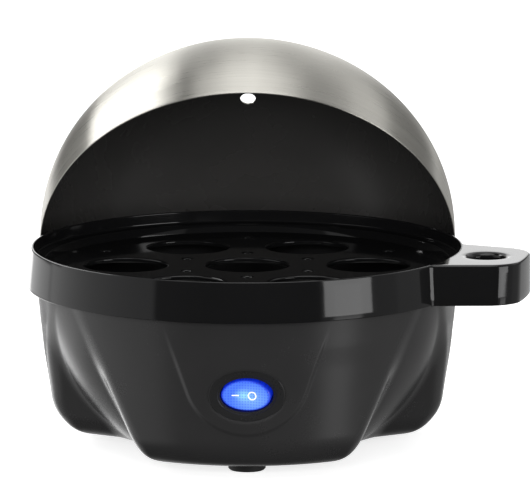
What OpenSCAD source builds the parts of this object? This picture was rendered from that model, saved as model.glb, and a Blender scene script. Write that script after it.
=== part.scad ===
// Egg cooker: a lobed bowl base with a heating plate, a lift-out tray that
// holds seven eggs and carries the side handle, and a loose domed lid that
// stands on its edge behind the base and leans forward over it.
// Millimetres. +Z is up, -Y is the front with the switch.
// The origin is on the bowl's axis, in the plane that the feet stand on.

/* [Base bowl] */
// Radius of the bowl's round core
bowl_r = 83.9; // [82:0.1:84.2]
// Height of the round core's centre above the table
bowl_centre_z = 72; // [70:0.5:74]
// Height of the bowl's rim, which the tray rests on
bowl_rim_z = 73.3; // [72.8:0.1:74]
// Height of the flat underside of the lobes
sole_z = 3.7; // [3:0.1:5]
// Wall thickness of the mouldings
wall = 2.6; // [2.2:0.1:3]

/* [Lobes] */
// Number of lobes round the bowl
lobe_count = 3; // [3:1:3]
// Radius to which the lobes' flat underside reaches
sole_r = 57; // [55:0.5:58]
// Radius of the lobes' rounded lower corner
lobe_corner_r = 22; // [18:0.5:23]
// Draft of the lobes' upright wall, in degrees
lobe_draft = 7; // [5:0.5:8]
// Half width that a lobe's side would have at table height
lobe_half_w = 39; // [36:0.5:40]
// How much a lobe's half width grows for each millimetre of height
lobe_flare = 0.463; // [0.4:0.01:0.5]
// Rounding of a lobe's lower corners, seen from outside
lobe_side_r = 13; // [10:0.5:15]

/* [Front panel and switch] */
// Height of the switch above the table
switch_z = 35.2; // [34:0.1:36]
// How far the tongue-shaped panel stands proud of the front lobe
panel_proud = 0.8; // [0.5:0.1:1.2]
// Radius of the panel's round lower end
tongue_r = 24.6; // [23:0.2:26]
// Height of the centre of that round end
tongue_z = 43.3; // [42:0.1:45]
// How fast each side of the panel opens upwards, in degrees
tongue_flare = 19.5; // [17:0.5:22]
// Width of the oval switch bezel
bezel_w = 29.6; // [29:0.2:31]
// Height of the oval switch bezel
bezel_h = 20.6; // [20.2:0.2:22]
// Width of the oval rocker
rocker_w = 19.6; // [18:0.2:20]
// Height of the oval rocker
rocker_h = 12.6; // [12:0.2:13]
// Travel of the rocker from on to off, in degrees
rocker_travel = 16; // [12:1:20]

/* [Tray] */
// Height of the tray's top edge above the table
tray_top_z = 80.5; // [80:0.1:81]
// Radius of the tray's opening
tray_mouth_r = 85.3; // [85.1:0.1:85.5]
// Outer radius of the tray's top lip
tray_lip_r = 86.4; // [86.3:0.1:86.8]
// Outer radius of the tray's lower edge
tray_flange_r = 87.9; // [87.5:0.1:88.5]
// Height of the tray's band from lower edge to lip
tray_band_h = 16; // [14:0.1:17]
// Thickness of the tray's floor
tray_floor_t = 2.2; // [1.8:0.1:2.6]
// Distance of the outer egg seats from the axis
egg_ring_r = 48.5; // [47:0.5:50]
// Radius of an egg hole
egg_hole_r = 16.5; // [15:0.5:17.5]

/* [Tray handle] */
// Direction in which the handle points, in degrees from +X
handle_angle = -12.3; // [-20:0.1:0]
// Sideways shift of the handle towards the front
handle_shift = 4.4; // [0:0.1:6]
// Radius of the handle's outer end
handle_end_r = 114.2; // [110:0.1:118]
// Half width of the handle where it leaves the band
handle_root_w = 27.2; // [24:0.2:30]
// How fast each side of the handle closes in, in degrees
handle_taper = 12.8; // [8:0.1:14]
// Distance of the finger hole from the axis
finger_hole_pos = 97.9; // [96:0.1:100]
// Radius of the finger hole
finger_hole_r = 7.4; // [6:0.1:8]

/* [Lid] */
// Outer radius of the lid's rim
lid_r = 84.7; // [84:0.1:84.8]
// Height of the lid's straight rim band
lid_band_h = 9.2; // [8:0.2:10]
// Height of the domed part above the band
lid_dome_h = 73; // [72:0.5:74]
// Radius of the dome's shoulder curve
lid_shoulder_r = 66; // [64:0.5:68]
// Sheet thickness of the lid
lid_t = 0.6; // [0.5:0.1:1]
// Angle between the lid's axis and the vertical as it leans, in degrees
lid_lean = 57; // [56:0.5:58]
// Distance of the leaning lid's mouth centre behind the bowl's axis
lid_back = 45; // [43:0.5:47]
// Height of the leaning lid's mouth centre above the table
lid_centre_z = 71.1; // [71.1:0.05:73]
// Radius of the steam vent
vent_r = 3.2; // [2.5:0.1:3.5]
// Distance of the steam vent from the lid's apex
vent_off = 10.5; // [7:0.5:12]

/* [Heating plate] */
// Radius of the plate's rim
plate_rim_r = 52.5; // [51:0.5:54]
// Radius of the plate's dish
plate_dish_r = 45.5; // [44:0.5:46]
// Height of the dish's inside floor above the table
plate_floor_z = 49; // [48:0.5:50]
// Thickness of the plate
plate_t = 1.5; // [1.2:0.1:1.8]

/* [Feet] */
// Radius of a foot
foot_r = 7.4; // [6:0.2:8]
// Distance of each foot from the axis
foot_pos = 52; // [50:0.5:53]

/* [Hidden] */
$fn = 128;
eps = 0.01;

// Directions of the lobes: the front one carries the switch.
front_angle = -90;
lobe_angles = [for (i = [0 : lobe_count - 1]) front_angle + i * 360 / lobe_count];

// Bowl and lobes
lobe_corner_z = sole_z + lobe_corner_r;
lobe_top_z = 66;
lobe_side_angle = atan(lobe_flare);

// Cord outlet in the rear left lobe
cord_z = 24;
cord_face_r = 80.4;
cord_hole_r = 3.6;
grommet_r = 6;

// Deck
ledge_z = 66.5;
ledge_r = 78.6;
deck_t = 2.2;
deck_top_z = ledge_z + deck_t;
deck_shelf_z = 54.5;
deck_hole_r = plate_dish_r + 1;
post_r = 4.2;
post_joint_z = 22;
post_out = 48;
post_aside = 26;
screw_shank_r = 1.6;
screw_head_r = 3.1;

// Heating plate and what hangs under it
seal_t = 0.8;
plate_under_z = plate_floor_z - plate_t;
spreader_t = 4;
spreader_z = plate_under_z - spreader_t;
element_ring_r = 31;
element_tube_r = 3.2;
element_arc = 300;
element_bend_r = 3.6;
element_end_z = 34;
stud_pos = 41.5;
stud_r = 1.9;

// Switch frame: the panel's slope, and the point of its face at the switch
panel_tilt = lobe_draft;
bezel_t = 1.4;
recess_depth = 2.6;
rocker_axis_depth = 3.2;
rocker_gap = 0.6;
pivot_r = 1;

// Tray
tray_low_z = tray_top_z - tray_band_h;
lid_seat_z = 75.5;
tray_floor_z = 72.5;
tray_floor_r = 80.6;
skirt_in_r = 85;

// Lid profile: the shoulder arc runs on into the crown arc.
shoulder_x = lid_r - lid_shoulder_r;
crown_r = (lid_dome_h * lid_dome_h + shoulder_x * shoulder_x
           - lid_shoulder_r * lid_shoulder_r) / (2 * (lid_dome_h - lid_shoulder_r));
crown_z = lid_band_h + lid_dome_h - crown_r;
lid_h = lid_band_h + lid_dome_h;

// ---------- general shapes ----------

// Extruded ring of one (radius, height) outline.
module lathe(points) {
    rotate_extrude() polygon(points);
}

// Flat ellipse centred on the origin.
module oval(w, h) {
    steps = 48;
    polygon([for (i = [0 : steps - 1])
        [w / 2 * cos(360 * i / steps), h / 2 * sin(360 * i / steps)]]);
}

// A disc between two heights.
module disc(r, z0, z1) {
    translate([0, 0, z0]) cylinder(r = r, h = z1 - z0);
}

// Where the four screw posts stand: beside the feet of the three lobes.
module at_posts() {
    for (side = [-1, 1]) rotate(front_angle) translate([post_out, side * post_aside, 0]) children();
    rotate(lobe_angles[1]) translate([post_out, post_aside, 0]) children();
    rotate(lobe_angles[2]) translate([post_out, -post_aside, 0]) children();
}

// Turns a shape modelled on the panel's face, with +Z as its outward normal.
module on_panel() {
    translate([0, -panel_face_r(switch_z), switch_z])
        rotate([90 + panel_tilt, 0, 0]) children();
}

// Moves a shape modelled round the closed lid's axis to where the lid leans.
module as_lid_leans() {
    translate([0, lid_back, lid_centre_z]) rotate([-lid_lean, 0, 0]) children();
}

// Radius of the lobes' upright wall at a height.
function lobe_wall_r(z) = sole_r + lobe_corner_r / cos(lobe_draft)
    + (z - lobe_corner_z) * tan(lobe_draft);

// Radius of the front panel's face at a height.
function panel_face_r(z) = lobe_wall_r(z) + panel_proud;

// Radius of the round core at a height.
function bowl_r_at(z, inset = 0) =
    sqrt(pow(bowl_r - inset, 2) - pow(z - bowl_centre_z, 2));

// ---------- base ----------

// Points along a round corner, from one direction to another, in degrees.
function arc(centre, r, from, to, steps) = [
    for (i = [0 : steps]) centre + r * [cos(from + (to - from) * i / steps),
                                        sin(from + (to - from) * i / steps)]
];

// The same points on the other side of the outline's middle line, reversed.
function mirrored(points) = [
    for (i = [len(points) - 1 : -1 : 0]) [-points[i][0], points[i][1]]
];

// The bowl of revolution that the lobes are cut from, shrunk by an inset.
module lobe_bowl(inset) {
    corner = arc([sole_r, lobe_corner_z], lobe_corner_r - inset, -90, -lobe_draft, 12);
    tip = corner[len(corner) - 1];
    lathe(concat(
        [[0, sole_z + inset]], corner,
        [[tip[0] + (lobe_top_z - tip[1]) * tan(lobe_draft), lobe_top_z], [0, lobe_top_z]]
    ));
}

// Outline of one lobe seen from outside, as a slab along its direction.
module lobe_slab(inset) {
    corner_z = sole_z + lobe_side_r;
    corner_x = lobe_half_w + lobe_flare * corner_z - lobe_side_r / cos(lobe_side_angle);
    corner = arc([corner_x, corner_z], lobe_side_r - inset, -90, -lobe_side_angle, 8);
    tip = corner[len(corner) - 1];
    half = concat(corner, [[tip[0] + (lobe_top_z - tip[1]) * lobe_flare, lobe_top_z]]);
    rotate([90, 0, 90]) linear_extrude(height = 100) polygon(concat(half, mirrored(half)));
}

// All the lobes, shrunk by an inset.
module lobes(inset = 0) {
    intersection() {
        lobe_bowl(inset);
        for (angle = lobe_angles) rotate(angle) lobe_slab(inset);
    }
}

// The round core between two heights, shrunk by an inset.
module core(inset, z0, z1) {
    intersection() {
        translate([0, 0, bowl_centre_z]) sphere(r = bowl_r - inset);
        disc(100, z0, z1);
    }
}

// The tongue-shaped panel round the switch: it fades into the wall towards its top.
module panel(grow) {
    fade_z = 44;
    top_z = 62;
    curve = arc([0, tongue_z], tongue_r, -85, -tongue_flare, 12);
    tip = curve[len(curve) - 1];
    half = concat(curve, [[tip[0] + (top_z - tip[1]) * tan(tongue_flare), top_z]]);
    intersection() {
        rotate([90, 0, 0]) linear_extrude(height = 100)
            polygon(concat(half, mirrored(half)));
        lathe([
            [0, 12], [lobe_wall_r(12) + grow, 12], [lobe_wall_r(fade_z) + grow, fade_z],
            [lobe_wall_r(top_z) - 0.2, top_z], [0, top_z]
        ]);
    }
}

// Outer moulding: bowl, lobes, panel, switch recess, screw collars and cord hole.
module base_housing() {
    color([0.16, 0.16, 0.165]) difference() {
        union() {
            difference() {
                union() {
                    core(0, sole_z, bowl_rim_z);
                    lobes();
                    panel(panel_proud);
                }
                core(wall, sole_z + wall, bowl_rim_z + eps);
                lobes(wall);
            }
            difference() {
                core(eps, ledge_z - 2.4, ledge_z);
                disc(ledge_r, ledge_z - 3, ledge_z + 1);
            }
            at_posts() disc(post_r, sole_z + 1, post_joint_z);
            switch_well();
            cord_boss();
        }
        at_posts() union() {
            disc(screw_head_r + 0.3, 0, sole_z + 4.4);
            disc(screw_shank_r + 0.3, 0, post_joint_z + 1);
        }
        on_panel() translate([0, 0, -recess_depth]) linear_extrude(height = 10)
            oval(bezel_w, bezel_h);
        on_panel() translate([0, 0, -12]) linear_extrude(height = 20)
            oval(bezel_w - 5, bezel_h - 5);
        at_cord() translate([0, 0, 50]) cylinder(r = grommet_r + 0.05, h = 50);
    }
}

// Oval collar behind the panel that the switch clips into.
module switch_well() {
    on_panel() translate([0, 0, -recess_depth - 4])
        linear_extrude(height = recess_depth + 3) oval(bezel_w - 1, bezel_h - 1);
}

// Turns a shape modelled along +Z to point out of the rear left lobe, where the cord leaves.
module at_cord() {
    rotate(lobe_angles[2]) translate([0, 0, cord_z]) rotate([0, 90, 0]) children();
}

// Round boss where the cord comes out.
module cord_boss() {
    at_cord() translate([0, 0, 64]) cylinder(r = 9.5, h = cord_face_r - 64);
}

// Inner deck: a shallow funnel from the rim ledge to the heating plate's shelf.
module deck() {
    color([0.1, 0.1, 0.105]) difference() {
        union() {
            lathe([
                [deck_hole_r, deck_shelf_z - deck_t], [56.5, deck_shelf_z - deck_t],
                [75.5, ledge_z], [80.9, ledge_z], [80.9, deck_top_z],
                [74.8, deck_top_z], [55.5, deck_shelf_z + 0.2], [54.5, deck_shelf_z],
                [deck_hole_r, deck_shelf_z]
            ]);
            at_posts() disc(post_r, post_joint_z, deck_shelf_z - 0.1);
        }
        at_posts() disc(screw_shank_r, post_joint_z - 1, 46);
    }
}

// Silicone ring under the heating plate's rim.
module plate_seal() {
    color([0.55, 0.16, 0.1])
        lathe([
            [deck_hole_r + 1, deck_shelf_z], [plate_rim_r, deck_shelf_z],
            [plate_rim_r, deck_shelf_z + seal_t], [deck_hole_r + 1, deck_shelf_z + seal_t]
        ]);
}

// Dished plate that boils the water, with three studs under it.
module heating_plate() {
    rim_z = deck_shelf_z + seal_t;
    color([0.75, 0.76, 0.77]) union() {
        lathe([
            [0, plate_under_z], [plate_dish_r - 2, plate_under_z],
            [plate_dish_r, plate_under_z + 2], [plate_dish_r, rim_z],
            [plate_rim_r, rim_z], [plate_rim_r, rim_z + plate_t],
            [plate_dish_r - plate_t, rim_z + plate_t],
            [plate_dish_r - plate_t, plate_floor_z + 1.4],
            [plate_dish_r - plate_t - 1.4, plate_floor_z], [0, plate_floor_z]
        ]);
        for (i = [0 : 2]) rotate(30 + i * 120) translate([stud_pos, 0, 0])
            disc(stud_r, plate_under_z - 8, plate_under_z + 0.5);
    }
}

// The heating tube as part of a ring, open at the back.
module element_tube() {
    rotate(90 + (360 - element_arc) / 2) rotate_extrude(angle = element_arc)
        translate([element_ring_r, 0]) circle(r = element_tube_r, $fn = 48);
}

// Puts a shape at both ends of the heating tube.
module at_element_ends() {
    for (side = [-1, 1]) rotate(90 + side * (360 - element_arc) / 2)
        translate([element_ring_r, 0, 0]) children();
}

// Cast aluminium ring that spreads the element's heat into the plate.
module heat_spreader() {
    color([0.62, 0.63, 0.64]) difference() {
        lathe([
            [24, spreader_z], [37.2, spreader_z], [37.2, plate_under_z], [24, plate_under_z]
        ]);
        translate([0, 0, spreader_z]) element_tube();
        at_element_ends() disc(element_bend_r, spreader_z - 5, spreader_z + element_bend_r);
        for (side = [-1, 1]) translate([side * clip_screw_x, 0, 0])
            disc(1.2, spreader_z - 1, spreader_z + 3);
    }
}

// Sheathed heating element with its two cold ends turned down.
module heating_element() {
    color([0.35, 0.34, 0.33]) union() {
        translate([0, 0, spreader_z]) element_tube();
        at_element_ends() lathe([
            [0, element_end_z - 6], [1.1, element_end_z - 6], [1.1, element_end_z],
            [element_bend_r, element_end_z], [element_bend_r, spreader_z + element_bend_r],
            [0, spreader_z + element_bend_r]
        ]);
    }
}

// Three steel clamps that pull the plate down on its seal.
module plate_clamps() {
    top_z = deck_shelf_z - deck_t;
    color([0.6, 0.6, 0.58]) for (i = [0 : 2]) rotate(30 + i * 120) difference() {
        union() {
            translate([38.6, -5, plate_under_z - 1.5]) cube([11.4, 10, 1.5]);
            translate([48.5, -5, plate_under_z - 1.5]) cube([1.5, 10, top_z - plate_under_z + 1.5]);
        }
        translate([stud_pos, 0, 0]) disc(stud_r + 0.1, plate_under_z - 5, plate_under_z + 5);
    }
}

// Hexagon nuts on the plate's studs.
module plate_nuts() {
    color([0.7, 0.7, 0.66]) for (i = [0 : 2]) rotate(30 + i * 120)
        translate([stud_pos, 0, plate_under_z - 4.5]) difference() {
            cylinder(d = 7.6, h = 3, $fn = 6);
            translate([0, 0, -1]) cylinder(r = stud_r + 0.05, h = 5, $fn = 48);
        }
}

// Disc thermostat pressed against the plate's centre, with two blade tabs.
module thermostat() {
    color([0.2, 0.17, 0.15]) union() {
        disc(8, plate_under_z - 2.2, plate_under_z);
        disc(7, plate_under_z - 7, plate_under_z - 2.2);
        for (side = [-1, 1]) translate([-2, side * 4 - 0.4, plate_under_z - 15])
            cube([4, 0.8, 8.5]);
    }
}

// Sprung strap that holds the thermostat up against the plate.
clip_screw_x = 26.2;
module thermostat_clip() {
    strap_z = plate_under_z - 8;
    color([0.7, 0.7, 0.68]) difference() {
        union() {
            translate([-21, -1.9, strap_z]) cube([42, 3.8, 1]);
            for (side = [-1, 1]) translate([side * 20.5 - 0.5, -1.9, strap_z])
                cube([1, 3.8, spreader_z - strap_z]);
            for (side = [-1, 1]) translate([side * 23.6 - 3.6, -1.9, spreader_z - 1])
                cube([7.2, 3.8, 1]);
        }
        for (side = [-1, 1]) translate([side * clip_screw_x, 0, 0])
            disc(1.3, spreader_z - 3, spreader_z + 1);
    }
}

// Two small screws of the strap.
module clip_screws() {
    color([0.72, 0.7, 0.62]) for (side = [-1, 1]) translate([side * clip_screw_x, 0, 0])
        union() {
            disc(1.15, spreader_z - 1.5, spreader_z + 2.8);
            disc(1.6, spreader_z - 2.4, spreader_z - 1);
        }
}

// One-shot thermal fuse and the block that holds it against the plate.
fuse_y = 17;
fuse_z = plate_under_z - 3.2;
module thermal_fuse() {
    color([0.8, 0.78, 0.7]) translate([-6, fuse_y, fuse_z]) rotate([0, 90, 0]) union() {
        cylinder(r = 2, h = 12);
        translate([0, 0, -6]) cylinder(r = 0.5, h = 24);
    }
}

module fuse_holder() {
    color([0.85, 0.84, 0.8]) difference() {
        translate([-4, fuse_y - 3.4, plate_under_z - 6.4]) cube([8, 6.8, 6.4]);
        translate([-10, fuse_y, fuse_z]) rotate([0, 90, 0]) cylinder(r = 2.05, h = 20);
    }
}

// ---------- switch ----------

// Bezel ring that lines the recess round the rocker.
module switch_bezel() {
    color([0.12, 0.12, 0.125]) on_panel() difference() {
        union() {
            translate([0, 0, -recess_depth]) linear_extrude(height = bezel_t)
                oval(bezel_w - 0.2, bezel_h - 0.2);
            translate([0, 0, -9]) linear_extrude(height = 9 - recess_depth)
                oval(bezel_w - 5.3, bezel_h - 5.3);
        }
        translate([0, 0, -10]) linear_extrude(height = 12)
            oval(rocker_w + 2 * rocker_gap, rocker_h + 2 * rocker_gap);
        rocker_pin(pivot_r + 0.05, bezel_h - 5.3);
    }
}

// The rocker's pivot pin, or its hole, along the rocker's axis.
module rocker_pin(r, length) {
    translate([0, length / 2, -rocker_axis_depth]) rotate([90, 0, 0]) cylinder(r = r, h = length);
}

// Switch body behind the bezel, with three blade terminals.
module switch_body() {
    color([0.09, 0.09, 0.09]) on_panel() union() {
        difference() {
            translate([-rocker_w / 2 - 1, -rocker_h / 2 - 1, -21])
                cube([rocker_w + 2, rocker_h + 2, 12]);
            translate([-rocker_w / 2 + 0.2, -rocker_h / 2 + 0.2, -14])
                cube([rocker_w - 0.4, rocker_h - 0.4, 6]);
        }
        for (x = [-7, 0, 7]) translate([x - 0.4, -2.4, -28]) cube([0.8, 4.8, 7.5]);
    }
}

// Rocker in its on position: the left end pressed in, the right end out.
module switch_rocker() {
    half_turn = rocker_travel / 2;
    ridge_z = 0.6;
    color([0.1, 0.25, 0.95]) on_panel() union() {
        rocker_pin(pivot_r, bezel_h - 6);
        translate([0, 0, -rocker_axis_depth]) rotate([0, -half_turn, 0]) intersection() {
            union() {
                translate([0, 0, -3.4]) linear_extrude(height = 12) oval(rocker_w, rocker_h);
                translate([0, 0, -6]) cylinder(r = 2.4, h = 6);
            }
            rotate([90, 0, 0]) translate([0, 0, -20]) linear_extrude(height = 40)
                polygon([
                    [-20, -8], [20, -8],
                    [20, rocker_axis_depth + ridge_z + 20 * tan(half_turn) - 2],
                    [0, rocker_axis_depth + ridge_z - 2],
                    [-20, rocker_axis_depth + ridge_z + 20 * tan(half_turn) - 2]
                ]);
        }
    }
}

// Small lamp inside the switch body that lights the rocker.
module switch_lamp() {
    color([0.75, 0.9, 1]) on_panel() translate([-5.5, 0, -14]) union() {
        cylinder(r = 1.6, h = 2.4);
        translate([0, 0, 2.4]) sphere(r = 1.6);
    }
}

// ---------- wiring ----------

// Terminal block on the bowl's floor, with three screw wells.
module terminal_block() {
    floor_z = sole_z + wall;
    color([0.86, 0.86, 0.82]) difference() {
        translate([-13, 22, floor_z]) cube([26, 14, 13]);
        for (x = [-8, 0, 8]) translate([x, 29, floor_z + 6]) union() {
            cylinder(r = 2, h = 10);
            translate([0, -10, 0]) rotate([-90, 0, 0]) cylinder(r = 1.6, h = 20);
        }
    }
}

// Grommet in the cord hole.
module cord_grommet() {
    inner_end = 62;
    color([0.06, 0.06, 0.06]) at_cord() difference() {
        union() {
            translate([0, 0, inner_end]) cylinder(r = grommet_r, h = cord_face_r - inner_end);
            translate([0, 0, cord_face_r]) cylinder(r = grommet_r + 1.5, h = 2);
        }
        translate([0, 0, inner_end - 5]) cylinder(r = cord_hole_r, h = 40);
    }
}

// ---------- feet and screws ----------

// Rubber foot stuck under a lobe.
module foot(angle) {
    color([0.07, 0.07, 0.07]) rotate(angle) translate([foot_pos, 0, 0])
        lathe([[0, 0], [foot_r - 0.6, 0], [foot_r, 0.6], [foot_r, sole_z], [0, sole_z]]);
}

module foot_front() { foot(lobe_angles[0]); }
module foot_right() { foot(lobe_angles[1]); }
module foot_left() { foot(lobe_angles[2]); }

// Four long screws that draw the deck down on the housing.
module housing_screws() {
    color([0.65, 0.65, 0.66]) at_posts() union() {
        disc(screw_head_r, sole_z + 2, sole_z + 4.4);
        disc(screw_shank_r, sole_z + 4, 44);
    }
}

// ---------- tray ----------

// Outline of the tray's handle, as a solid between two heights.
module handle_slab(inset, z0, z1) {
    corner = 9 - inset;
    root_x = 82;
    end_x = handle_end_r - 9;
    end_w = handle_root_w - (end_x - root_x) * tan(handle_taper) - 9;
    side_dx = corner * sin(handle_taper);
    side_dy = corner * cos(handle_taper);
    root_w = handle_root_w - inset / cos(handle_taper);
    start_x = 76;
    start_w = root_w + (root_x - start_x) * tan(handle_taper);
    rotate(handle_angle) translate([0, -handle_shift, z0]) intersection() {
        cylinder(r = handle_end_r - inset, h = z1 - z0);
        linear_extrude(height = z1 - z0) union() {
            polygon([
                [start_x, -start_w], [end_x + side_dx, -end_w - side_dy],
                [handle_end_r + 4, 0],
                [end_x + side_dx, end_w + side_dy], [start_x, start_w]
            ]);
            for (side = [-1, 1]) translate([end_x, side * end_w]) circle(r = corner);
        }
    }
}

// Tray: band, lid seat, floor with seven egg seats, and the side handle.
module egg_tray() {
    floor_low = tray_floor_z - tray_floor_t;
    seat_low = lid_seat_z - tray_floor_t;
    color([0.03, 0.03, 0.032]) difference() {
        union() {
            lathe([
                [0, floor_low], [tray_floor_r - 1.6, floor_low],
                [tray_floor_r - 0.4, seat_low], [skirt_in_r, seat_low],
                [skirt_in_r, tray_low_z], [tray_flange_r, tray_low_z],
                [tray_lip_r, tray_top_z - 0.4], [tray_lip_r - 0.4, tray_top_z],
                [tray_mouth_r + 0.3, tray_top_z], [tray_mouth_r, tray_top_z - 0.3],
                [tray_mouth_r, lid_seat_z], [tray_floor_r, lid_seat_z],
                [tray_floor_r - 1.2, tray_floor_z], [0, tray_floor_z]
            ]);
            difference() {
                handle_slab(0, tray_low_z, tray_top_z);
                disc(tray_mouth_r + 0.4, 0, 100);
                difference() {
                    handle_slab(2.4, tray_low_z - 1, tray_top_z - 2.4);
                    disc(tray_flange_r - 0.2, 0, 100);
                }
            }
            rotate(handle_angle) translate([finger_hole_pos, -handle_shift, 0])
                disc(finger_hole_r + 2, tray_low_z, tray_top_z - 1);
        }
        rotate(handle_angle) translate([finger_hole_pos, -handle_shift, 0]) union() {
            disc(finger_hole_r, 0, 100);
            translate([0, 0, tray_top_z - 1.6]) cylinder(r1 = finger_hole_r, r2 = finger_hole_r + 1.9, h = 1.61);
        }
        for (spot = egg_spots()) translate([spot[0], spot[1], 0]) union() {
            disc(egg_hole_r, floor_low - 1, tray_floor_z + 1);
            translate([0, 0, tray_floor_z - 1.4])
                cylinder(r1 = egg_hole_r, r2 = egg_hole_r + 1.4, h = 1.41);
        }
        for (i = [0 : 5]) rotate(i * 60 + 30) for (d = [28, 66])
            translate([d, 0, 0]) disc(2, floor_low - 1, tray_floor_z + 1);
    }
}

// Centres of the seven egg seats: one in the middle and six round it.
function egg_spots() = concat(
    [[0, 0]],
    [for (i = [0 : 5]) [egg_ring_r * cos(60 * i), egg_ring_r * sin(60 * i)]]
);

// ---------- lid ----------

// Half section of the dome, shrunk by an inset.
module dome_section(inset) {
    pie = 160;
    slope = [shoulder_x, lid_band_h - crown_z];
    union() {
        translate([0, -inset]) square([lid_r - inset, lid_band_h + inset]);
        intersection() {
            translate([shoulder_x, lid_band_h]) circle(r = lid_shoulder_r - inset);
            square([lid_r, lid_h]);
        }
        intersection() {
            translate([0, crown_z]) circle(r = crown_r - inset);
            polygon([[0, crown_z], [pie * slope[0] / slope[1], crown_z + pie], [0, crown_z + pie]]);
        }
    }
}

// Brushed steel dome with a steam vent beside its apex.
module lid_dome() {
    color([0.75, 0.75, 0.74]) difference() {
        as_lid_leans() rotate_extrude() difference() {
            dome_section(0);
            dome_section(lid_t);
        }
        as_lid_leans() translate([0, -vent_off, lid_h - 20]) cylinder(r = vent_r, h = 30);
    }
}

// ---------- drawing ----------

base_housing();
deck();
plate_seal();
heating_plate();
heat_spreader();
heating_element();
plate_clamps();
plate_nuts();
thermostat();
thermostat_clip();
clip_screws();
thermal_fuse();
fuse_holder();
switch_bezel();
switch_body();
switch_rocker();
switch_lamp();
terminal_block();
cord_grommet();
foot_front();
foot_left();
foot_right();
housing_screws();
egg_tray();
lid_dome();
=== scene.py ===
import math

import bmesh
import bpy
import numpy as np
from mathutils import Matrix, Vector


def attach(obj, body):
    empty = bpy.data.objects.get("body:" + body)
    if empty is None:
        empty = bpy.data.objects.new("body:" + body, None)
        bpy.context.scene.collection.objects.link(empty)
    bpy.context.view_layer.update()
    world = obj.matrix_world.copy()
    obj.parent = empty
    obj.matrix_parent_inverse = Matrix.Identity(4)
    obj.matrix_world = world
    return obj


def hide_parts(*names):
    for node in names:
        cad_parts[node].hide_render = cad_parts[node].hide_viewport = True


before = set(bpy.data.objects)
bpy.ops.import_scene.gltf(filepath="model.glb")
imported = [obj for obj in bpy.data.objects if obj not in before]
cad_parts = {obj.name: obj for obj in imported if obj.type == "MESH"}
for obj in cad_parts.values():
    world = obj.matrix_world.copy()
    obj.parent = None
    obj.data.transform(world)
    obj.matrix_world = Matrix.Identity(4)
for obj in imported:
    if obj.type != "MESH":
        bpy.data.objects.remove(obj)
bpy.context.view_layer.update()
MM = 0.001

# ---------------------------------------------------------------- camera
PHOTO_W = 530
FOCAL_PX = 6000.0
DISTANCE = 2.4
ELEVATION = math.radians(9.72)
TARGET = Vector((0.0071, 0.0, 0.07969))

cam_data = bpy.data.cameras.new("camera")
cam_data.sensor_width = 36.0
cam_data.lens = FOCAL_PX / PHOTO_W * 36.0
cam_data.clip_start = 0.1
cam_data.clip_end = 50.0
camera = bpy.data.objects.new("camera", cam_data)
back = Vector((0.0, -math.cos(ELEVATION), math.sin(ELEVATION)))
camera.location = TARGET + back * DISTANCE
camera.rotation_euler = (math.pi / 2 - ELEVATION, 0.0, 0.0)
bpy.context.collection.objects.link(camera)
bpy.context.scene.camera = camera


# ---------------------------------------------------------------- mesh helpers
def new_object(name, verts, faces, smooth=True):
    mesh = bpy.data.meshes.new(name)
    mesh.from_pydata([tuple(v) for v in np.asarray(verts) * MM], [], [list(f) for f in faces])
    mesh.validate()
    if smooth:
        mesh.polygons.foreach_set("use_smooth", [True] * len(mesh.polygons))
    mesh.update()
    obj = bpy.data.objects.new(name, mesh)
    bpy.context.collection.objects.link(obj)
    return obj


def face_outwards(obj):
    """Turns every face of a closed piece the same way out."""
    bm = bmesh.new()
    bm.from_mesh(obj.data)
    bmesh.ops.recalc_face_normals(bm, faces=bm.faces)
    bm.to_mesh(obj.data)
    bm.free()


def grid_faces(rows, cols, close_cols=True, close_rows=False):
    faces = []
    row_count = rows if close_rows else rows - 1
    col_count = cols if close_cols else cols - 1
    for i in range(row_count):
        a = i * cols
        b = ((i + 1) % rows) * cols
        for j in range(col_count):
            k = (j + 1) % cols
            faces.append((a + j, a + k, b + k, b + j))
    return faces


def lathe_points(profile, steps):
    """Rings of (radius, height) points turned round Z, as an array rows x steps x 3."""
    profile = np.asarray(profile, float)
    t = np.linspace(0, 2 * math.pi, steps, endpoint=False)
    out = np.zeros((len(profile), steps, 3))
    out[..., 0] = profile[:, 0:1] * np.cos(t)
    out[..., 1] = profile[:, 0:1] * np.sin(t)
    out[..., 2] = profile[:, 1:2]
    return out


def arc_points(cx, cy, r, a0, a1, steps):
    """Points on an arc in a profile, angles in degrees."""
    t = np.radians(np.linspace(a0, a1, steps + 1))
    return [(cx + r * math.cos(v), cy + r * math.sin(v)) for v in t]


def round_profile(points, radii, steps=5, closed=True):
    """A profile whose corners are rounded: each point has its own fillet radius."""
    n = len(points)
    out = []
    for i, (p, r) in enumerate(zip(points, radii)):
        if r <= 0 or (not closed and i in (0, n - 1)):
            out.append(tuple(p))
            continue
        p = np.array(p, float)
        a = np.array(points[i - 1], float) - p
        b = np.array(points[(i + 1) % n], float) - p
        la, lb = np.linalg.norm(a), np.linalg.norm(b)
        a, b = a / la, b / lb
        angle = math.acos(max(-1.0, min(1.0, float(a @ b))))
        if angle > math.pi - 0.02:
            out.append(tuple(p))
            continue
        cut = min(r / math.tan(angle / 2), 0.48 * la, 0.48 * lb)
        rr = cut * math.tan(angle / 2)
        mid = a + b
        centre = p + mid / np.linalg.norm(mid) * (rr / math.sin(angle / 2))
        start, end = p + a * cut - centre, p + b * cut - centre
        t0 = math.atan2(start[1], start[0])
        t1 = math.atan2(end[1], end[0])
        while t1 - t0 > math.pi:
            t1 -= 2 * math.pi
        while t1 - t0 < -math.pi:
            t1 += 2 * math.pi
        for k in range(steps + 1):
            t = t0 + (t1 - t0) * k / steps
            out.append((centre[0] + rr * math.cos(t), centre[1] + rr * math.sin(t)))
    return out


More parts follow.
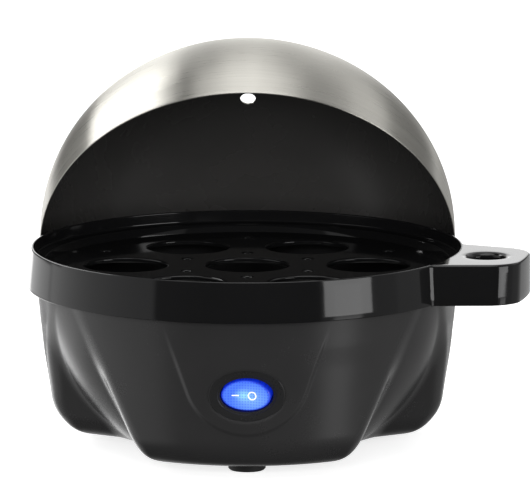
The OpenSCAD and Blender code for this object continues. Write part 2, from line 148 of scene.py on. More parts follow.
def densify(profile, step, closed=True):
    """Splits the long straight stretches of a profile."""
    out = []
    n = len(profile)
    for i in range(n if closed else n - 1):
        a = np.array(profile[i], float)
        b = np.array(profile[(i + 1) % n], float)
        count = max(1, int(np.linalg.norm(b - a) / step))
        for k in range(count):
            out.append(tuple(a + (b - a) * k / count))
    if not closed:
        out.append(tuple(profile[-1]))
    return out


def apply_modifiers(obj):
    dg = bpy.context.evaluated_depsgraph_get()
    mesh = bpy.data.meshes.new_from_object(obj.evaluated_get(dg))
    obj.modifiers.clear()
    old = obj.data
    obj.data = mesh
    bpy.data.meshes.remove(old)


def cut(obj, *cutters):
    """Cuts solids out of a mesh and removes the cutters."""
    for cutter in cutters:
        mod = obj.modifiers.new("cut", "BOOLEAN")
        mod.operation = "DIFFERENCE"
        mod.solver = "EXACT"
        mod.object = cutter
    apply_modifiers(obj)
    for cutter in cutters:
        bpy.data.objects.remove(cutter)


def cylinder_between(name, a, b, r, steps=96):
    """A cylinder between two points, in mm."""
    a, b = Vector(a), Vector(b)
    d = (b - a).normalized()
    rot = d.to_track_quat("Z", "Y").to_matrix()
    verts = []
    for end in (a, b):
        for k in range(steps):
            t = 2 * math.pi * k / steps
            verts.append(tuple(end + rot @ Vector((r * math.cos(t), r * math.sin(t), 0))))
    faces = [(k, (k + 1) % steps, steps + (k + 1) % steps, steps + k) for k in range(steps)]
    faces.append(tuple(reversed(range(steps))))
    faces.append(tuple(range(steps, 2 * steps)))
    return new_object(name, verts, faces, smooth=False)


def transform(points, matrix):
    p = np.asarray(points, float)
    m = np.array(matrix.to_4x4())
    return p @ m[:3, :3].T + m[:3, 3]


def sharp_by_angle(obj, degrees):
    """Smooth shading that breaks at edges sharper than an angle."""
    mesh = obj.data
    bm = bmesh.new()
    bm.from_mesh(mesh)
    limit = math.radians(degrees)
    for e in bm.edges:
        e.smooth = not (len(e.link_faces) == 2 and e.calc_face_angle(0) > limit)
    for f in bm.faces:
        f.smooth = True
    bm.to_mesh(mesh)
    bm.free()


# ---------------------------------------------------------------- signed distances, in mm
def smax(a, b, r):
    return np.minimum(np.maximum(a, b), -r) + np.hypot(np.maximum(a + r, 0), np.maximum(b + r, 0))


def smin(a, b, r):
    return np.maximum(np.minimum(a, b), r) - np.hypot(np.maximum(r - a, 0), np.maximum(r - b, 0))


def wedge(u, w, corner, angle_deg, r):
    """Region u <= line, w >= corner height, rounded by r: a flat bottom and a side that opens upwards."""
    a = math.radians(angle_deg)
    du, dw = u - corner[0], w - corner[1]
    below = -dw
    side = du * math.cos(a) - dw * math.sin(a)
    along_side = du * math.sin(a) + dw * math.cos(a)
    beyond = (du > 0) & (along_side < 0)
    d = np.maximum(below, side)
    return np.where(beyond, np.hypot(du, dw), d) - r


def smoothstep(x, a, b):
    t = np.clip((x - a) / (b - a), 0, 1)
    return t * t * (3 - 2 * t)


# ---------------------------------------------------------------- base housing
BOWL_R, BOWL_Z, RIM_Z, SOLE_Z, WALL = 83.9, 72.0, 73.3, 3.7, 2.6
LOBES = [math.radians(a) for a in (-90, 30, 150)]
DRAFT_DEG = 7.0
SWITCH_Z, PANEL_TILT, PANEL_PROUD = 34.6, math.radians(7), 0.8
RECESS_A, RECESS_B = 14.8, 10.3
WALL_R = 57 + 22 / math.cos(PANEL_TILT)
# The lobes' lower corner, as its centre (radius, height) and its rounding: tighter at the front.
FRONT_CORNER, FRONT_CORNER_R = (63.19, 18.7), 15.0
SIDE_CORNER, SIDE_CORNER_R = (59.65, 22.7), 19.0
# The lobes' sides, seen from outside: half width at table height, growth with height, rounding.
LOBE_HALF_W, LOBE_FLARE, LOBE_SIDE_R = 39, 0.463, 16
LOBE_SIDE_Z = 19.7
SWELL, SWELL_Z, SWELL_SPAN = 0.6, 41, 13
TONGUE_R, TONGUE_Z, TONGUE_FLARE = 24.6, 43.3, math.radians(19.5)
CORD_ANGLE = LOBES[2]
CORD_Z, CORD_FACE, CORD_BOSS_R, CORD_HOLE_R = 24.0, 80.4, 9.5, 6.05


def lobe_wall(z):
    """Radius of the lobes' drafted wall at a height."""
    return WALL_R + (z - 25.7) * math.tan(PANEL_TILT)


FACE_R = lobe_wall(SWITCH_Z) + PANEL_PROUD


def tongue(x, z):
    """Signed distance to the outline of the tongue-shaped panel."""
    flare = TONGUE_FLARE
    dx, dz = np.abs(x), z - TONGUE_Z
    side = dx * math.cos(flare) - dz * math.sin(flare) - TONGUE_R
    ball = np.hypot(dx, dz) - TONGUE_R
    on_side = dx * math.sin(flare) + dz * math.cos(flare) > 0
    return np.where(on_side, side, ball)


def housing(p):
    """Signed distance to the moulding's outer form: round core, lobes, panel, boss and recess lip."""
    x, y, z = p[..., 0], p[..., 1], p[..., 2]
    r = np.hypot(x, y)
    core = np.sqrt(r * r + (z - BOWL_Z) ** 2) - BOWL_R
    core_r = np.sqrt(np.maximum(BOWL_R ** 2 - (z - BOWL_Z) ** 2, 0))
    cap = r - core_r - 0.28 - 0.02 * np.maximum(62 - z, 0) ** 2
    swell = SWELL * np.exp(-((z - SWELL_Z) / SWELL_SPAN) ** 2)
    front_bowl = wedge(r, z, FRONT_CORNER, DRAFT_DEG, FRONT_CORNER_R)
    side_bowl = wedge(r, z, SIDE_CORNER, DRAFT_DEG, SIDE_CORNER_R) - swell
    flare = math.atan(LOBE_FLARE)
    corner = (LOBE_HALF_W + LOBE_FLARE * LOBE_SIDE_Z - LOBE_SIDE_R / math.cos(flare), LOBE_SIDE_Z)
    shape = None
    for a, bowl in zip(LOBES, (front_bowl, side_bowl, side_bowl)):
        s = np.abs(-x * math.sin(a) + y * math.cos(a))
        f = x * math.cos(a) + y * math.sin(a)
        slab = wedge(s, z, corner, math.degrees(flare), LOBE_SIDE_R)
        lobe = smax(smax(bowl, slab, 0.3 + 3.6 * smoothstep(z, 4.5, 12)), cap, 1.0)
        lobe = np.maximum(lobe, -f)
        shape = lobe if shape is None else np.minimum(shape, lobe)
    core = smax(core, SOLE_Z - z, 2.0)
    d = smin(core, shape, 2.2)
    d = np.maximum(d, SOLE_Z - z)
    # the raised tongue, fading into the wall at its top
    t = tongue(x, z)
    front = smoothstep(-y, 40, 60)
    d = d - PANEL_PROUD * smoothstep(-t, -0.7, 0.7) * (1 - smoothstep(z, 44, 63)) * front
    # the cord boss on the rear left lobe
    out = x * math.cos(CORD_ANGLE) + y * math.sin(CORD_ANGLE)
    aside = y * math.cos(CORD_ANGLE) - x * math.sin(CORD_ANGLE)
    boss = np.maximum(np.hypot(aside, z - CORD_Z) - CORD_BOSS_R, out - CORD_FACE)
    boss = np.maximum(boss, 62 - out)
    d = smin(d, boss, 1.6)
    # rounded lip of the switch recess
    e = (np.sqrt((x / RECESS_A) ** 2 + ((z - SWITCH_Z) / RECESS_B) ** 2) - 1) * 12.0
    lip = np.clip(1 - e / 0.9, 0, 1) ** 2
    d = d + 0.42 * lip * front
    return d


def cast(directions, centre, level, lo=20.0, hi=120.0):
    """Where rays from the centre leave the housing, shrunk by a level."""
    lo = np.full(directions.shape[:-1], lo)
    hi = np.full(directions.shape[:-1], hi)
    for _ in range(34):
        mid = (lo + hi) / 2
        inside = housing(centre + directions * mid[..., None]) < level
        lo = np.where(inside, mid, lo)
        hi = np.where(inside, hi, mid)
    return centre + directions * ((lo + hi) / 2)[..., None]


def warped_angles(count):
    """Angles round Z, closer together at the front."""
    t = np.linspace(-math.pi, math.pi, 4001)
    off = np.abs((t + math.pi / 2 + math.pi) % (2 * math.pi) - math.pi)
    density = 1.0 + 1.2 * (1 - smoothstep(off, 0.35, 0.9))
    total = np.concatenate([[0], np.cumsum((density[1:] + density[:-1]) / 2)])
    total /= total[-1]
    return np.interp(np.arange(count) / count, total, t)


def make_housing():
    cols = 720
    rows = 250
    centre = np.array([0.0, 0.0, 45.0])
    theta = warped_angles(cols)
    top = math.atan2(RIM_Z - centre[2], math.sqrt(BOWL_R ** 2 - (RIM_Z - BOWL_Z) ** 2))
    phi = np.concatenate([
        np.linspace(-math.pi / 2, -0.95, 70)[1:],
        np.linspace(-0.95, top, rows - 69)[1:],
    ])
    dirs = np.stack([
        np.cos(phi)[:, None] * np.cos(theta)[None, :],
        np.cos(phi)[:, None] * np.sin(theta)[None, :],
        np.repeat(np.sin(phi)[:, None], cols, axis=1)], axis=-1)
    outer = cast(dirs, centre, 0.0)
    inner_top = math.atan2(RIM_Z - centre[2], math.sqrt((BOWL_R - WALL) ** 2 - (RIM_Z - BOWL_Z) ** 2))
    phi_in = np.linspace(inner_top, -math.pi / 2, 90)[:-1]
    dirs_in = np.stack([
        np.cos(phi_in)[:, None] * np.cos(theta)[None, :],
        np.cos(phi_in)[:, None] * np.sin(theta)[None, :],
        np.repeat(np.sin(phi_in)[:, None], cols, axis=1)], axis=-1)
    inner = cast(dirs_in, centre, -WALL)
    # round the top edge a little
    outer[-1, :, 2] = RIM_Z - 0.25
    rim = outer[-1].copy()
    rim[:, :2] *= (BOWL_R - 0.35) / BOWL_R
    rim[:, 2] = RIM_Z
    rim_in = inner[0].copy()
    rim_in[:, :2] *= (BOWL_R - WALL + 0.3) / (BOWL_R - WALL)
    rim_in[:, 2] = RIM_Z
    inner[0, :, 2] = RIM_Z - 0.25
    grid = np.concatenate([outer, rim[None], rim_in[None], inner], axis=0)
    n_rows = grid.shape[0]
    verts = grid.reshape(-1, 3)
    bottom = [0, 0, outer[0, :, 2].mean()]
    inside = [0, 0, inner[-1, :, 2].mean()]
    verts = np.vstack([verts, bottom, inside])
    faces = grid_faces(n_rows, cols)
    b, i = len(verts) - 2, len(verts) - 1
    last = (n_rows - 1) * cols
    for k in range(cols):
        faces.append((b, (k + 1) % cols, k))
        faces.append((i, last + k, last + (k + 1) % cols))
    obj = new_object("housing_shell", verts, faces)
    return obj


def panel_matrix():
    """From the switch's own frame, +Z out of the panel, to the row frame, in mm."""
    return Matrix.Translation((0, -FACE_R, SWITCH_Z)) @ Matrix.Rotation(math.pi / 2 + PANEL_TILT, 4, "X")


def oval_rings(rings, steps=160):
    """Rings of an elliptical loft: each ring is (half width, half height, depth)."""
    t = np.linspace(0, 2 * math.pi, steps, endpoint=False)
    return np.stack([np.stack([a * np.cos(t), b * np.sin(t), np.full(steps, z)], -1) for a, b, z in rings])


def oval_solid(name, rings, matrix):
    grid = oval_rings(rings)
    rows, cols = grid.shape[:2]
    verts = transform(grid.reshape(-1, 3), matrix)
    faces = grid_faces(rows, cols)
    faces.append(tuple(reversed(range(cols))))
    faces.append(tuple(range((rows - 1) * cols, rows * cols)))
    return new_object(name, verts, faces)


POSTS = []
for index, a in enumerate(LOBES):
    for side in ((-1, 1) if index == 0 else ((1,) if index == 1 else (-1,))):
        POSTS.append((48 * math.cos(a) - side * 26 * math.sin(a), 48 * math.sin(a) + side * 26 * math.cos(a)))


def along_cord(distance):
    """A point on the cord hole's axis, in mm."""
    return (distance * math.cos(CORD_ANGLE), distance * math.sin(CORD_ANGLE), CORD_Z)


base = make_housing()
cutters = [
    oval_solid("c", [(RECESS_A, RECESS_B, -2.6), (RECESS_A, RECESS_B, 6)], panel_matrix()),
    oval_solid("c", [(12.3, 7.8, -14), (12.3, 7.8, 6)], panel_matrix()),
    cylinder_between("c", along_cord(50), along_cord(100), CORD_HOLE_R),
]
for px, py in POSTS:
    cutters.append(cylinder_between("c", (px, py, -1), (px, py, 8.1), 3.4, 48))
cut(base, *cutters)
sharp_by_angle(base, 40)
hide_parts("base_housing")
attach(base, "base")
base.name = "base_shell"

# ---------------------------------------------------------------- tray
TRAY_TOP, TRAY_LOW = 80.5, 64.5
band_points = [
    (85.0, TRAY_LOW), (87.9, TRAY_LOW), (86.4, TRAY_TOP), (85.3, TRAY_TOP), (85.3, 75.5), (80.6, 75.5),
    (79.4, 72.5), (79.0, 70.3), (80.2, 73.3), (85.0, 73.3)]
band_radii = [0.4, 0.35, 0.5, 0.45, 0.9, 0.8, 0.0, 0.0, 0.6, 1.2]
band_profile = densify(round_profile(band_points, band_radii), 2.0)
rings = lathe_points(band_profile, 360)
band = new_object("tray_band", rings.reshape(-1, 3), grid_faces(*rings.shape[:2], close_rows=True))
sharp_by_angle(band, 50)


def flat_with_holes(name, outer_r, holes, low, high, bevel):
    """A disc with round holes whose edges are all rounded, from a filled 2D curve."""
    curve = bpy.data.curves.new(name, "CURVE")
    curve.dimensions = "2D"
    curve.fill_mode = "BOTH"
    curve.extrude = ((high - low) / 2 - bevel) * MM
    curve.bevel_depth = bevel * MM
    curve.bevel_resolution = 4
    for cx, cy, r, steps in [(0, 0, outer_r - bevel, 256)] + holes:
        spline = curve.splines.new("POLY")
        spline.points.add(steps - 1)
        for k in range(steps):
            t = 2 * math.pi * k / steps
            rr = r if r == outer_r - bevel else r + bevel
            spline.points[k].co = ((cx + rr * math.cos(t)) * MM, (cy + rr * math.sin(t)) * MM, 0, 1)
        spline.use_cyclic_u = True
    obj = bpy.data.objects.new(name, curve)
    bpy.context.collection.objects.link(obj)
    dg = bpy.context.evaluated_depsgraph_get()
    mesh = bpy.data.meshes.new_from_object(obj.evaluated_get(dg))
    bpy.data.objects.remove(obj)
    mesh.transform(Matrix.Translation((0, 0, (low + high) / 2 * MM)))
    out = bpy.data.objects.new(name, mesh)
    bpy.context.collection.objects.link(out)
    sharp_by_angle(out, 35)
    return out


holes = [(0, 0, 16.5, 128)]
for i in range(6):
    t = math.radians(60 * i)
    holes.append((48.5 * math.cos(t), 48.5 * math.sin(t), 16.5, 128))
    t = math.radians(60 * i + 30)
    for d in (28, 66):
        holes.append((d * math.cos(t), d * math.sin(t), 2.0, 32))
floor = flat_with_holes("tray_floor", 79.6, holes, 70.3, 72.5, 0.8)

HANDLE_ANGLE = math.radians(-12.3)
HANDLE_SHIFT = 4.4
HOLE_X, HOLE_R = 97.9, 7.2


def handle_ring(inset, psi, z, to_band=True):
    """The handle's outline at a height, as distances from the finger hole's axis.

    The sides lean out a little towards the lower edge and meet the band in a small fillet.
    """
    a = math.radians(12.8)
    half = 27.2 + 0.75 * (72.5 - z) / 8
    band_r = 87.9 - 1.5 * (z - TRAY_LOW) / 16
    inner_r = 85.6 if to_band else band_r + inset
    lo, hi = np.zeros_like(psi), np.full_like(psi, 60.0)
    for _ in range(40):
        mid = (lo + hi) / 2
        x, y = HOLE_X + mid * np.cos(psi), mid * np.sin(psi)
        from_axis = np.hypot(x, y - HANDLE_SHIFT)
        side = (x - 82) * math.sin(a) + (np.abs(y) - half) * math.cos(a)
        body = smax(side, np.hypot(x, y) - 114.2, 9.0)
        body = np.maximum(smin(body, from_axis - band_r + 0.2, 1.5), side - 1.4)
        inside = np.maximum(body + inset, inner_r - from_axis) < 0
        lo, hi = np.where(inside, mid, lo), np.where(inside, hi, mid)
    return (lo + hi) / 2


def handle_psi():
    """Directions from the finger hole, closer together where the outline turns."""
    t = np.linspace(-math.pi, math.pi, 4001)
    r = handle_ring(0.0, t, 72.5)
    x, y = HOLE_X + r * np.cos(t), r * np.sin(t)
    length = np.hypot(np.diff(x), np.diff(y)) + 4 * np.abs(np.diff(t))
    total = np.concatenate([[0], np.cumsum(length)])
    return np.interp(np.arange(480) / 480 * total[-1], total, t)


psi = handle_psi()
edge = 1.1
wall = 2.4
loft = []


def ring_at(radius, z):
    x = HOLE_X + radius * np.cos(psi)
    loft.append(np.stack([x, radius * np.sin(psi) - HANDLE_SHIFT, np.full_like(psi, z)], -1))


round_r = np.full_like(psi, HOLE_R)
for z in (TRAY_LOW + 0.3, 68, 72, 76):
    ring_at(round_r, z)
for k in range(13):
    t = math.radians(90 * k / 12)
    ring_at(round_r + 3.0 * (1 - math.cos(t)), TRAY_TOP - 2.0 + 2.0 * math.sin(t))
for share in (0.3, 0.6, 0.9):
    ring_at(round_r + 3.0 + (handle_ring(edge, psi, TRAY_TOP) - HOLE_R - 3.2) * share, TRAY_TOP)
for k in range(9):
    t = math.radians(90 * k / 8)
    z = TRAY_TOP - edge * (1 - math.cos(t))
    ring_at(handle_ring(edge * (1 - math.sin(t)), psi, z), z)
for z in (77, 74, 71, 68, TRAY_LOW + 0.35):
    ring_at(handle_ring(0.0, psi, z), z)
for k in range(1, 7):
    t = math.radians(180 * k / 6)
    z = TRAY_LOW + 0.35 - 0.35 * math.sin(t)
    ring_at(handle_ring(0.35 * (1 - math.cos(t)), psi, z), z)
for z in (68, 72, 76, TRAY_TOP - 3.2):
    ring_at(handle_ring(wall, psi, z, False), z)
ring_at(handle_ring(wall + 0.8, psi, TRAY_TOP - wall, False), TRAY_TOP - wall)
for z in (TRAY_TOP - wall, 76, 70, TRAY_LOW + 0.5):
    ring_at(round_r + 2.0, z)
ring_at(round_r + 1.4, TRAY_LOW)
ring_at(round_r + 0.4, TRAY_LOW)
loft = np.stack(loft)
spin = Matrix.Rotation(HANDLE_ANGLE, 4, "Z")
grip_tab = new_object("tray_handle", transform(loft.reshape(-1, 3), spin),
                      grid_faces(loft.shape[0], loft.shape[1], close_rows=True))
sharp_by_angle(grip_tab, 50)
for piece in (band, floor, grip_tab):
    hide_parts("egg_tray")
    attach(piece, "tray")

# ---------------------------------------------------------------- lid
LID_R, LID_BAND, LID_DOME, SHOULDER, LID_T = 84.7, 9.2, 73.0, 66.0, 0.6
VENT_OFF, VENT_R = 10.5, 3.2
SHOULDER_X = LID_R - SHOULDER
CROWN_R = (LID_DOME ** 2 + SHOULDER_X ** 2 - SHOULDER ** 2) / (2 * (LID_DOME - SHOULDER))
CROWN_Z = LID_BAND + LID_DOME - CROWN_R
LID_PLACE = Matrix.Translation((0, 45, 71.1)) @ Matrix.Rotation(math.radians(-57), 4, "X")


def dome_profile(inset):
    """Half section of the dome from the rim to the apex."""
    turn = math.degrees(math.atan2(LID_BAND - CROWN_Z, SHOULDER_X))
    pts = [(LID_R - inset, z) for z in np.linspace(0.3, LID_BAND - 0.6, 6)]
    pts += arc_points(SHOULDER_X, LID_BAND, SHOULDER - inset, 0, turn, 70)
    pts += arc_points(0, CROWN_Z, CROWN_R - inset, turn, 89.6, 46)[1:]
    return pts


def lean(obj):
    """Leans the piece's mesh; each point keeps its place in the lid's own frame for the materials."""
    points = np.empty(len(obj.data.vertices) * 3)
    obj.data.vertices.foreach_get("co", points)
    place_in_lid = obj.data.attributes.new("in_lid", "FLOAT_VECTOR", "POINT")
    place_in_lid.data.foreach_set("vector", points)
    m = LID_PLACE.copy()
    m.translation *= MM
    obj.data.transform(m)
    obj.data.update()


outside, inside = dome_profile(0.0), dome_profile(LID_T)
rim = []
for t in np.linspace(math.pi, 0, 7)[1:-1]:
    rim.append((LID_R - LID_T / 2 + LID_T / 2 * math.cos(t), 0.3 - 0.3 * math.sin(t)))
sheet = [tuple(p) for p in reversed(inside)] + rim + [tuple(p) for p in outside]
rings = lathe_points(sheet, 384)
rows = rings.shape[0]
verts = np.vstack([rings.reshape(-1, 3), [[0, 0, CROWN_Z + CROWN_R - LID_T], [0, 0, CROWN_Z + CROWN_R]]])
faces = grid_faces(rows, 384)
n = rows * 384
for k in range(384):
    faces.append((n, (k + 1) % 384, k))
    faces.append((n + 1, n - 384 + k, n - 384 + (k + 1) % 384))
dome = new_object("lid_sheet", verts, faces)
face_outwards(dome)
cut(dome, cylinder_between("c", (0, -VENT_OFF, 60), (0, -VENT_OFF, 95), VENT_R, 64))
sharp_by_angle(dome, 40)
# faces turned inwards get slot 1, the dark non-metal inside that is painted shade in place of shaded steel
for poly in dome.data.polygons:
    c, nrm = poly.center, poly.normal
    towards = nrm.x * c.x + nrm.y * c.y + nrm.z * (c.z - 0.005)
    poly.material_index = 1 if towards < 0 else 0
lean(dome)
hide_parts("lid_dome")
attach(dome, "lid")

# ---------------------------------------------------------------- switch
ON_PANEL = panel_matrix()


def oval_loft(name, rings, matrix, steps=160, close=True):
    grid = oval_rings(rings, steps)
    rows, cols = grid.shape[:2]
    obj = new_object(name, transform(grid.reshape(-1, 3), matrix), grid_faces(rows, cols, close_rows=close))
    sharp_by_angle(obj, 50)
    return obj


def offset_rings(half_w, half_h, profile):
    """Rings at distances outside an ellipse, each with its depth."""
    return [(half_w + d, half_h + d, z) for d, z in profile]


bezel_profile = [
    (4.35, -2.6), (4.5, -1.35), (4.3, -1.12), (4.0, -1.1), (2.6, -1.22), (1.15, -1.38), (1.05, -1.62),
    (0.85, -1.7), (0.45, -1.7), (0.1, -1.82), (0.0, -2.1), (0.0, -4.0), (0.0, -9.0), (1.8, -9.0), (1.8, -2.6)]
bezel = oval_loft("switch_surround", offset_rings(10.4, 6.9, densify(bezel_profile, 0.6)), ON_PANEL)
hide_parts("switch_bezel")
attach(bezel, "base")

# the rocker, in its own frame: +Z out, tilted with its left end pressed in
ROCKER_PLACE = ON_PANEL @ Matrix.Translation((0, 0, -3.2)) @ Matrix.Rotation(math.radians(-8), 4, "Y")
ROCKER_A, ROCKER_B = 9.8, 6.3


def rocker_top(x):
    return 1.85 + (np.sqrt(x * x + 9.0) - 3.0) * math.tan(math.radians(8)) * 1.12


def rocker_ring(share, drop, steps=200):
    t = np.linspace(0, 2 * math.pi, steps, endpoint=False)
    x, y = ROCKER_A * share * np.cos(t), ROCKER_B * share * np.sin(t)
    return np.stack([x, y, rocker_top(x) - drop], -1)


rock_rings = [rocker_ring(sh, 0.0) for sh in np.linspace(0.04, 0.86, 18)]
for k in range(1, 9):
    t = math.radians(90 * k / 8)
    rock_rings.append(rocker_ring(0.86 + 0.14 * math.sin(t) ** 0.9, 1.15 * (1 - math.cos(t))))
side = rock_rings[-1]
for share in (0.35, 0.7, 1.0):
    low_ring = side.copy()
    low_ring[:, 2] = side[:, 2] + (-3.4 - side[:, 2]) * share
    rock_rings.append(low_ring)
rock = np.stack(rock_rings)
rows, cols = rock.shape[:2]
verts = np.vstack([rock.reshape(-1, 3), [[0, 0, float(rocker_top(np.array(0.0)))], [0, 0, -3.4]]])
faces = grid_faces(rows, cols)
n = rows * cols
for k in range(cols):
    faces.append((n, (k + 1) % cols, k))
    faces.append((n + 1, n - cols + k, n - cols + (k + 1) % cols))
rocker = new_object("rocker_cap", verts, [tuple(reversed(f)) for f in faces])


def place(obj, matrix):
    """Puts a piece at a matrix given in mm."""
    m = matrix.copy()
    m.translation *= MM
    obj.matrix_world = m


sharp_by_angle(rocker, 60)
place(rocker, ROCKER_PLACE)


def rocker_mark(name, outline_points, closed):
    """A thin raised mark drawn along a line on the rocker's face."""
    curve = bpy.data.curves.new(name, "CURVE")
    curve.dimensions = "3D"
    curve.bevel_depth = 0.29 * MM
    curve.bevel_resolution = 3
    spline = curve.splines.new("POLY")
    spline.points.add(len(outline_points) - 1)
    for k, (x, y) in enumerate(outline_points):
        z = float(rocker_top(np.array(x))) - 0.16
        spline.points[k].co = (x * MM, y * MM, z * MM, 1)
    spline.use_cyclic_u = closed
    obj = bpy.data.objects.new(name, curve)
    bpy.context.collection.objects.link(obj)
    dg = bpy.context.evaluated_depsgraph_get()
    mesh = bpy.data.meshes.new_from_object(obj.evaluated_get(dg))
    bpy.data.objects.remove(obj)
    for poly in mesh.polygons:
        poly.use_smooth = True
    out = bpy.data.objects.new(name, mesh)
    bpy.context.collection.objects.link(out)
    place(out, ROCKER_PLACE)
    return out


turn = np.linspace(0, 2 * math.pi, 48, endpoint=False)
circle = [(2.4 + 1.5 * math.cos(t), 1.5 * math.sin(t)) for t in turn]
mark_off = rocker_mark("rocker_mark_off", circle, True)
mark_on = rocker_mark("rocker_mark_on", [(-5.6 + k * 0.2, 0.0) for k in range(15)], False)
for piece in (rocker, mark_off, mark_on):
    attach(piece, "rocker")
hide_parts("switch_rocker")

# ---------------------------------------------------------------- materials

class Nodes:
    """Short calls for building one material's nodes."""

    def __init__(self, name):
        self.mat = bpy.data.materials.new(name)
        self.mat.use_nodes = True
        self.tree = self.mat.node_tree
        self.tree.nodes.clear()
        self.out = self.tree.nodes.new("ShaderNodeOutputMaterial")
        self.bsdf = self.tree.nodes.new("ShaderNodeBsdfPrincipled")
        self.link(self.bsdf.outputs[0], self.out.inputs["Surface"])

    def link(self, a, b):
        self.tree.links.new(a, b)

    def set(self, socket, value):
        if isinstance(value, bpy.types.NodeSocket):
            self.link(value, socket)
        else:
            socket.default_value = value

    def node(self, kind, props=None, **inputs):
        n = self.tree.nodes.new(kind)
        for key, value in (props or {}).items():
            setattr(n, key, value)
        for key, value in inputs.items():
            self.set(n.inputs[key.replace("_", " ")], value)
        return n

    def math(self, op, a, b=None, c=None):
        n = self.tree.nodes.new("ShaderNodeMath")
        n.operation = op
        for socket, value in zip(n.inputs, (a, b, c)):
            if value is not None:
                self.set(socket, value)
        return n.outputs[0]

    def coords(self, kind="Object"):
        return self.node("ShaderNodeTexCoord").outputs[kind]

    def scaled(self, vector, scale):
        n = self.tree.nodes.new("ShaderNodeVectorMath")
        n.operation = "MULTIPLY"
        self.set(n.inputs[0], vector)
        self.set(n.inputs[1], scale)
        return n.outputs[0]

    def noise(self, vector, scale, detail=2.0, rough=0.5):
        n = self.node("ShaderNodeTexNoise", Vector=vector, Scale=scale, Detail=detail, Roughness=rough)
        return n.outputs["Fac"]

    def remap(self, value, a0, a1, b0, b1):
        n = self.tree.nodes.new("ShaderNodeMapRange")
        for socket, v in zip(n.inputs, (value, a0, a1, b0, b1)):
            self.set(socket, v)
        return n.outputs[0]

    def mix(self, fac, a, b):
        n = self.tree.nodes.new("ShaderNodeMix")
        n.data_type = "RGBA"
        self.set(n.inputs["Factor"], fac)
        self.set(n.inputs[6], a)
        self.set(n.inputs[7], b)
        return n.outputs[2]

    def bump(self, height, strength, distance):
        n = self.node("ShaderNodeBump", Height=height, Strength=strength, Distance=distance)
        return n.outputs[0]

    def principled(self, **values):
        for key, value in values.items():
            self.set(self.bsdf.inputs[key.replace("_", " ")], value)


def rgb(r, g=None, b=None):
    return (r, r if g is None else g, r if b is None else b, 1.0)


def moulded(name, colour, rough, grain=900.0, bump=0.05, wave=0.0):
    """Moulded plastic or rubber: fine grain, cloudy gloss and slight colour drift."""
    m = Nodes(name)
    co = m.coords()
    fine = m.noise(co, grain, 3.0, 0.6)
    cloud = m.noise(co, 35.0, 3.0, 0.55)
    dark = rgb(*[c * 0.86 for c in colour])
    light = rgb(*[c * 1.12 for c in colour])
    matt = m.math("MULTIPLY_ADD", fine, 0.35, cloud)
    m.principled(Base_Color=m.mix(cloud, dark, light),
                 Roughness=m.remap(matt, 0.3, 1.0, rough * 0.88, rough * 1.12),
                 IOR=1.5)
    height = m.math("MULTIPLY_ADD", cloud, wave, fine) if wave else fine
    m.principled(Normal=m.bump(height, bump, 0.0002))
    return m


def metal(name, colour, rough, stretch=(1, 1, 1), grain=500.0, bump=0.08):
    """Metal with fine grain stretched along one direction."""
    m = Nodes(name)
    co = m.scaled(m.coords(), stretch)
    fine = m.noise(co, grain, 4.0, 0.6)
    cloud = m.noise(m.coords(), 60.0, 3.0, 0.5)
    m.principled(Base_Color=m.mix(cloud, rgb(*[c * 0.84 for c in colour]), rgb(*colour)), Metallic=1.0,
                 Roughness=m.remap(fine, 0.25, 0.75, rough * 0.7, rough * 1.3),
                 Normal=m.bump(fine, bump, 0.0001))
    return m


def paint(obj, *mats):
    """Gives a piece or a CAD node its material in every slot."""
    mesh = obj.data
    if not mesh.materials:
        mesh.materials.append(None)
    for k, slot in enumerate(obj.material_slots):
        slot.link = "OBJECT"
        slot.material = mats[min(k, len(mats) - 1)].mat


housing_mat = moulded("housing_plastic", (0.0245, 0.0242, 0.0245), 0.26, grain=1600.0, bump=0.06)
tray_mat = moulded("tray_gloss", (0.0055, 0.0055, 0.0058), 0.07, grain=260.0, bump=0.012, wave=3.0)
bezel_mat = moulded("bezel_plastic", (0.017, 0.017, 0.0172), 0.27, grain=1400.0, bump=0.06)
rubber_mat = moulded("rubber", (0.012, 0.012, 0.012), 0.62, grain=1200.0, bump=0.22)
deck_mat = moulded("deck_plastic", (0.014, 0.014, 0.0145), 0.3, grain=1300.0, bump=0.06)
seal_mat = moulded("seal_silicone", (0.32, 0.05, 0.03), 0.5, grain=800.0, bump=0.06)
phenolic_mat = moulded("phenolic", (0.035, 0.022, 0.015), 0.45)
ceramic_mat = moulded("ceramic", (0.7, 0.68, 0.62), 0.4)
terminal_mat = moulded("terminal_plastic", (0.72, 0.72, 0.66), 0.45)
body_mat = moulded("switch_plastic", (0.01, 0.01, 0.01), 0.45)
plate_mat = metal("plate_steel", (0.62, 0.62, 0.6), 0.3, (1, 1, 0.1))
cast_mat = metal("cast_aluminium", (0.55, 0.56, 0.57), 0.55, grain=300.0, bump=0.3)
sheath_mat = metal("sheath", (0.2, 0.19, 0.18), 0.45)
zinc_mat = metal("zinc", (0.6, 0.6, 0.56), 0.35)
fuse_mat = metal("fuse_metal", (0.7, 0.66, 0.55), 0.3)


